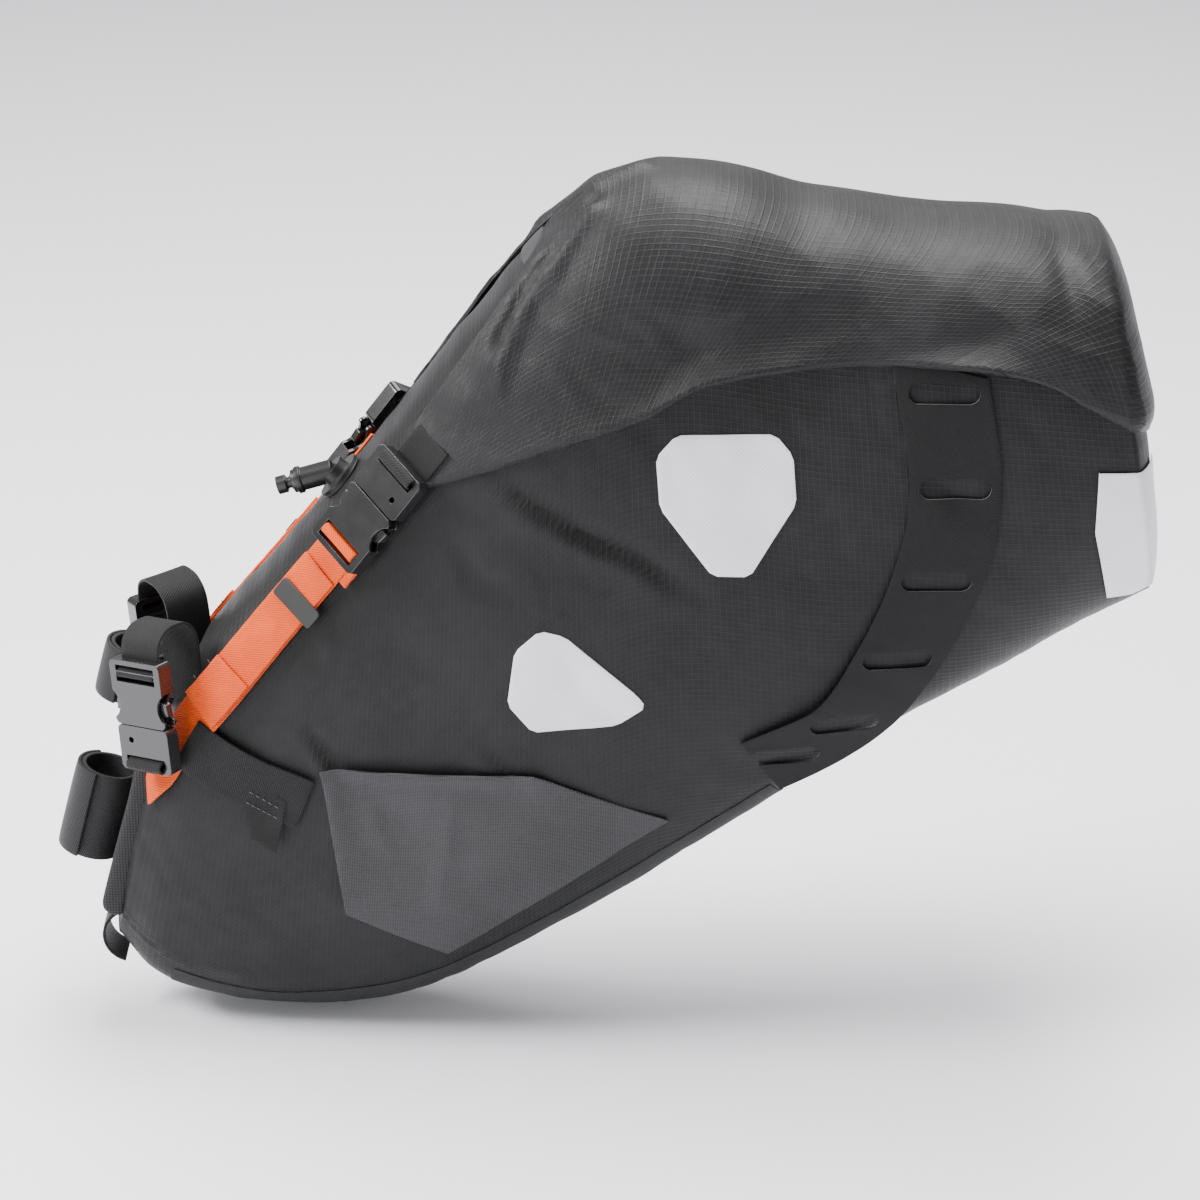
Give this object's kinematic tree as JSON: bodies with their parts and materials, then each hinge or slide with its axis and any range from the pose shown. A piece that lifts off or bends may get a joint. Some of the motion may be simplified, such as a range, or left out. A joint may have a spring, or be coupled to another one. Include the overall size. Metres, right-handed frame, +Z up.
{
  "type": "bicycle saddle bag",
  "caption": "Wedge-shaped roll-closure saddle bag with hood, side-release buckles, seat-post and rail straps, slotted side strips and a pull-out air valve.",
  "frame": {"origin": "centre of the lower seat-post strap, on the seat post's axis", "axes": "+X towards the back of the bicycle, +Y to its right, +Z up"},
  "size_m": [0.5803, 0.162, 0.4753],
  "materials": {
    "body_fabric": "coated ripstop weave, satin",
    "hood_fabric": "coated ripstop weave, satin, softly creased",
    "panel_fabric": "coarse coated weave, satin",
    "daisy_laminate": "coated laminate, slots cut clean",
    "rim_tape": "plain tape",
    "reflective_film": "smooth retro-reflective film",
    "orange_webbing": "woven, stitched",
    "black_webbing": "woven, stitched",
    "post_strap_fabric": "rubberised band with hook and loop",
    "pad_fabric": "grippy coated foam",
    "buckle_plastic": "moulded, semi-gloss",
    "valve_plastic": "moulded, satin",
    "keeper_rubber": "soft moulded",
    "stiffener_plastic": "sheet"
  },
  "bodies": {
    "root": {"body_shell": "body_fabric", "bottom_panel": "panel_fabric", "closure_buckle_socket_left": "buckle_plastic", "closure_buckle_socket_right": "buckle_plastic", "closure_strap_left": "orange_webbing", "closure_strap_right": "orange_webbing", "daisy_strip_left": "daisy_laminate", "daisy_strip_right": "daisy_laminate", "front_ladder_webbing": "black_webbing", "front_pad": "pad_fabric", "inner_stiffener_left": "stiffener_plastic", "inner_stiffener_right": "stiffener_plastic", "lower_post_strap": "post_strap_fabric", "lower_reflector_left": "reflective_film", "lower_reflector_right": "reflective_film", "mouth_rim_band": "rim_tape", "rail_anchor_tab_left": "black_webbing", "rail_anchor_tab_right": "black_webbing", "rail_buckle_plug_left": "buckle_plastic", "rail_buckle_plug_right": "buckle_plastic", "rear_reflector_left": "reflective_film", "rear_reflector_right": "reflective_film", "side_wing_left": "panel_fabric", "side_wing_right": "panel_fabric", "upper_post_strap": "post_strap_fabric", "upper_reflector_left": "reflective_film", "upper_reflector_right": "reflective_film", "upper_strap_base": "black_webbing", "valve_barrel": "valve_plastic", "valve_flange": "valve_plastic", "valve_seal": "keeper_rubber", "wing_strap_left": "black_webbing", "wing_strap_right": "black_webbing"},
    "closure": {"closure_hood": "hood_fabric", "closure_roll": "hood_fabric", "roll_stiffener": "stiffener_plastic"},
    "closure_clip_left": {"closure_buckle_plug_left": "buckle_plastic", "closure_tab_left": "black_webbing"},
    "closure_latch_upper_left": {"closure_latch_upper_left": "buckle_plastic"},
    "closure_latch_lower_left": {"closure_latch_lower_left": "buckle_plastic"},
    "rail_loop_left": {"rail_strap_left": "black_webbing", "rail_buckle_socket_left": "buckle_plastic"},
    "rail_latch_upper_left": {"rail_latch_upper_left": "buckle_plastic"},
    "rail_latch_lower_left": {"rail_latch_lower_left": "buckle_plastic"},
    "strap_keeper_left": {"strap_keeper_left": "keeper_rubber"},
    "closure_clip_right": {"closure_buckle_plug_right": "buckle_plastic", "closure_tab_right": "black_webbing"},
    "closure_latch_upper_right": {"closure_latch_upper_right": "buckle_plastic"},
    "closure_latch_lower_right": {"closure_latch_lower_right": "buckle_plastic"},
    "rail_loop_right": {"rail_strap_right": "black_webbing", "rail_buckle_socket_right": "buckle_plastic"},
    "rail_latch_upper_right": {"rail_latch_upper_right": "buckle_plastic"},
    "rail_latch_lower_right": {"rail_latch_lower_right": "buckle_plastic"},
    "strap_keeper_right": {"strap_keeper_right": "keeper_rubber"},
    "lower_post_flap": {"lower_post_flap": "post_strap_fabric"},
    "upper_post_flap": {"upper_post_flap": "post_strap_fabric"},
    "valve_nozzle": {"valve_nozzle": "valve_plastic"}
  },
  "joints": [
    {"name": "closure_open", "type": "hinge", "parent": "root", "child": "closure", "pos_m": [0.54342, 0, 0.2363], "axis": [0, 1, 0], "range_deg": [0, 110]},
    {"name": "closure_clip_left_pull", "type": "slide", "parent": "closure", "child": "closure_clip_left", "axis": [0.6092, -0.0102, 0.793], "range_m": [0, 0.02]},
    {"name": "closure_latch_upper_left_press", "type": "hinge", "parent": "closure_clip_left", "child": "closure_latch_upper_left", "pos_m": [0.15027, -0.05031, 0.20143], "axis": [-0.5021, -0.7789, 0.3757], "range_deg": [0, 8], "stiffness_Nm_per_rad": 0.05},
    {"name": "closure_latch_lower_left_press", "type": "hinge", "parent": "closure_clip_left", "child": "closure_latch_lower_left", "pos_m": [0.16206, -0.06235, 0.19223], "axis": [0.5021, 0.7789, -0.3757], "range_deg": [0, 8], "stiffness_Nm_per_rad": 0.05},
    {"name": "rail_loop_left_pull", "type": "slide", "parent": "root", "child": "rail_loop_left", "axis": [-0.0815, 0.0571, 0.995], "range_m": [0, 0.02]},
    {"name": "rail_latch_upper_left_press", "type": "hinge", "parent": "root", "child": "rail_latch_upper_left", "pos_m": [0.04086, -0.05544, 0.07086], "axis": [-0.5736, -0.8192, 0], "range_deg": [0, 8], "stiffness_Nm_per_rad": 0.05},
    {"name": "rail_latch_lower_left_press", "type": "hinge", "parent": "root", "child": "rail_latch_lower_left", "pos_m": [0.02521, -0.04448, 0.06895], "axis": [0.5736, 0.8192, 0], "range_deg": [0, 8], "stiffness_Nm_per_rad": 0.05},
    {"name": "strap_keeper_left_slide", "type": "slide", "parent": "root", "child": "strap_keeper_left", "axis": [0.624, 0.0162, 0.7812], "range_m": [-0.008, 0.008]},
    {"name": "closure_clip_right_pull", "type": "slide", "parent": "closure", "child": "closure_clip_right", "axis": [0.6092, 0.0102, 0.793], "range_m": [0, 0.02]},
    {"name": "closure_latch_upper_right_press", "type": "hinge", "parent": "closure_clip_right", "child": "closure_latch_upper_right", "pos_m": [0.15027, 0.05031, 0.20143], "axis": [0.5021, -0.7789, -0.3757], "range_deg": [0, 8], "stiffness_Nm_per_rad": 0.05},
    {"name": "closure_latch_lower_right_press", "type": "hinge", "parent": "closure_clip_right", "child": "closure_latch_lower_right", "pos_m": [0.16206, 0.06235, 0.19223], "axis": [-0.5021, 0.7789, 0.3757], "range_deg": [0, 8], "stiffness_Nm_per_rad": 0.05},
    {"name": "rail_loop_right_pull", "type": "slide", "parent": "root", "child": "rail_loop_right", "axis": [-0.0815, -0.0571, 0.995], "range_m": [0, 0.02]},
    {"name": "rail_latch_upper_right_press", "type": "hinge", "parent": "root", "child": "rail_latch_upper_right", "pos_m": [0.04086, 0.05544, 0.07086], "axis": [0.5736, -0.8192, 0], "range_deg": [0, 8], "stiffness_Nm_per_rad": 0.05},
    {"name": "rail_latch_lower_right_press", "type": "hinge", "parent": "root", "child": "rail_latch_lower_right", "pos_m": [0.02521, 0.04448, 0.06895], "axis": [-0.5736, 0.8192, 0], "range_deg": [0, 8], "stiffness_Nm_per_rad": 0.05},
    {"name": "strap_keeper_right_slide", "type": "slide", "parent": "root", "child": "strap_keeper_right", "axis": [0.624, -0.0162, 0.7812], "range_m": [-0.008, 0.008]},
    {"name": "lower_flap_open", "type": "hinge", "parent": "root", "child": "lower_post_flap", "pos_m": [-0.0071, 0.01577, 0.0019], "axis": [-0.2588, 0, -0.9659], "range_deg": [0, 100]},
    {"name": "upper_flap_open", "type": "hinge", "parent": "root", "child": "upper_post_flap", "pos_m": [0.01438, 0.01577, 0.08207], "axis": [-0.2588, 0, -0.9659], "range_deg": [0, 100]},
    {"name": "valve_nozzle_pull", "type": "slide", "parent": "root", "child": "valve_nozzle", "axis": [-0.9605, 0, -0.2783], "range_m": [0, 0.005]}
  ]
}
